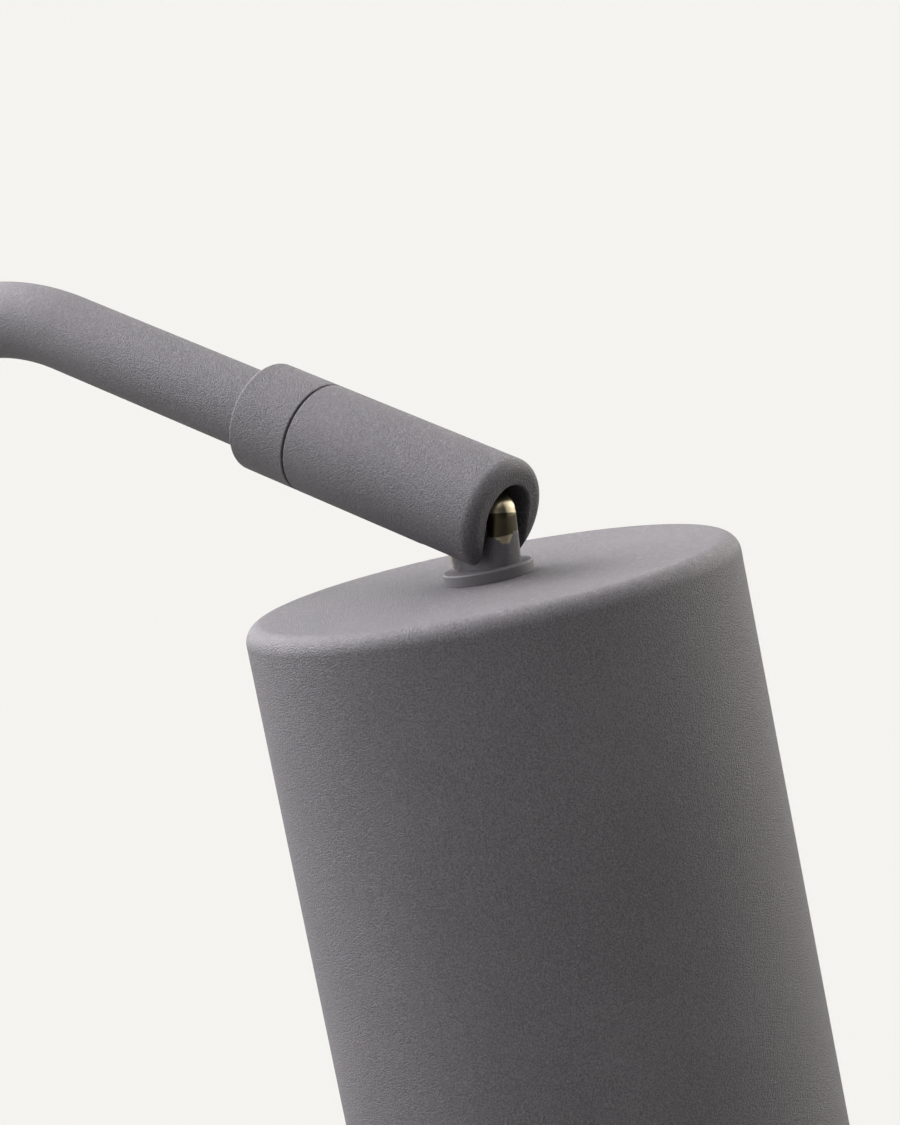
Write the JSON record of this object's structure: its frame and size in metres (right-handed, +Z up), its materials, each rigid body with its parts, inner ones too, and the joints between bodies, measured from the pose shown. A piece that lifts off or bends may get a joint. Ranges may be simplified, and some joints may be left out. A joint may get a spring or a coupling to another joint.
{
  "type": "architect desk lamp",
  "caption": "Adjustable desk lamp: weighted round base, two hinged tube arms, swivel knuckle and a tilting cylindrical shade.",
  "frame": {"origin": "on the desk, under the centre of the round base", "axes": "+X from the base towards the head, +Z up, arms and head in the XZ plane at rest"},
  "size_m": [0.485, 0.22, 0.5172],
  "materials": {
    "graphite_paint": "fine textured matte powder coat",
    "plated_nickel": "polished warm nickel plate",
    "zinc_steel": "zinc plated",
    "cast_weight": "raw casting, oiled",
    "black_rubber": "matte",
    "black_nylon": "satin nylon",
    "holder_plastic": "moulded thermoplastic",
    "button_plastic": "fine matte",
    "terminal_plastic": "moulded nylon",
    "lead_sheath": "soft PVC sheath",
    "ceramic_insert": "steatite",
    "contact_brass": "bright",
    "cap_aluminium": "rolled thread",
    "opal_glass": "opal white"
  },
  "bodies": {
    "root": {"base_pad": "black_rubber", "base_cover": "graphite_paint", "base_weight": "cast_weight", "base_boss": "graphite_paint", "yaw_bush": "black_nylon", "base_screws": "zinc_steel", "cable_gland": "black_rubber", "terminal_block": "terminal_plastic", "switch_lead": "lead_sheath", "switch_housing": "black_nylon", "switch_bezel": "graphite_paint"},
    "switch_button": {"switch_button": "button_plastic"},
    "turret": {"turret_stem": "zinc_steel", "yaw_washer": "zinc_steel", "yaw_nut": "zinc_steel", "turret_fork": "graphite_paint", "foot_washers": "black_nylon", "foot_bolt": "plated_nickel", "foot_nut": "plated_nickel"},
    "lower_arm": {"lower_tongue": "graphite_paint", "lower_tube": "graphite_paint", "lower_lead": "lead_sheath", "elbow_fork": "graphite_paint", "elbow_washers": "black_nylon", "elbow_bolt": "plated_nickel"},
    "elbow_knob": {"elbow_knob": "graphite_paint"},
    "upper_arm": {"upper_tongue": "graphite_paint", "upper_tube": "graphite_paint", "upper_lead": "lead_sheath", "swivel_collar": "graphite_paint", "swivel_stem": "plated_nickel", "stop_pin": "zinc_steel", "swivel_washer": "black_nylon", "swivel_nut": "zinc_steel"},
    "knuckle": {"knuckle_housing": "graphite_paint", "pivot_screw": "plated_nickel", "pivot_washers": "black_nylon"},
    "head": {"tilt_tongue": "plated_nickel", "shade": "graphite_paint", "mount_washer": "zinc_steel", "mount_nut": "zinc_steel", "holder_cap": "holder_plastic", "holder_shell": "holder_plastic", "contact_insert": "ceramic_insert", "centre_contact": "contact_brass", "screw_shell": "contact_brass", "bulb_cap": "cap_aluminium", "bulb_glass": "opal_glass"}
  },
  "joints": [
    {"name": "base_yaw", "type": "hinge", "parent": "root", "child": "turret", "pos_m": [0, 0, 0.032], "axis": [0, 0, 1], "range_deg": [-170, 170]},
    {"name": "lower_tilt", "type": "hinge", "parent": "turret", "child": "lower_arm", "pos_m": [0, 0, 0.0665], "axis": [0, 1, 0], "range_deg": [-20, 35]},
    {"name": "elbow_tilt", "type": "hinge", "parent": "lower_arm", "child": "upper_arm", "pos_m": [-0.08282, 0, 0.3756], "axis": [0, -1, 0], "range_deg": [-50, 75]},
    {"name": "elbow_knob_turn", "type": "hinge", "parent": "lower_arm", "child": "elbow_knob", "pos_m": [-0.08282, 0, 0.3756], "axis": [0, -1, 0], "range_deg": [-180, 180]},
    {"name": "head_swivel", "type": "hinge", "parent": "upper_arm", "child": "knuckle", "pos_m": [0.24424, 0, 0.49753], "axis": [0.9877, 0, -0.1564], "range_deg": [-165, 165]},
    {"name": "head_tilt", "type": "hinge", "parent": "knuckle", "child": "head", "pos_m": [0.28392, 0, 0.48724], "axis": [0, -1, 0], "range_deg": [-23, 65]},
    {"name": "button_press", "type": "slide", "parent": "root", "child": "switch_button", "axis": [0, 0, -1], "range_m": [0, 0.002], "stiffness_N_per_m": 300, "springref_m": -0.001}
  ]
}
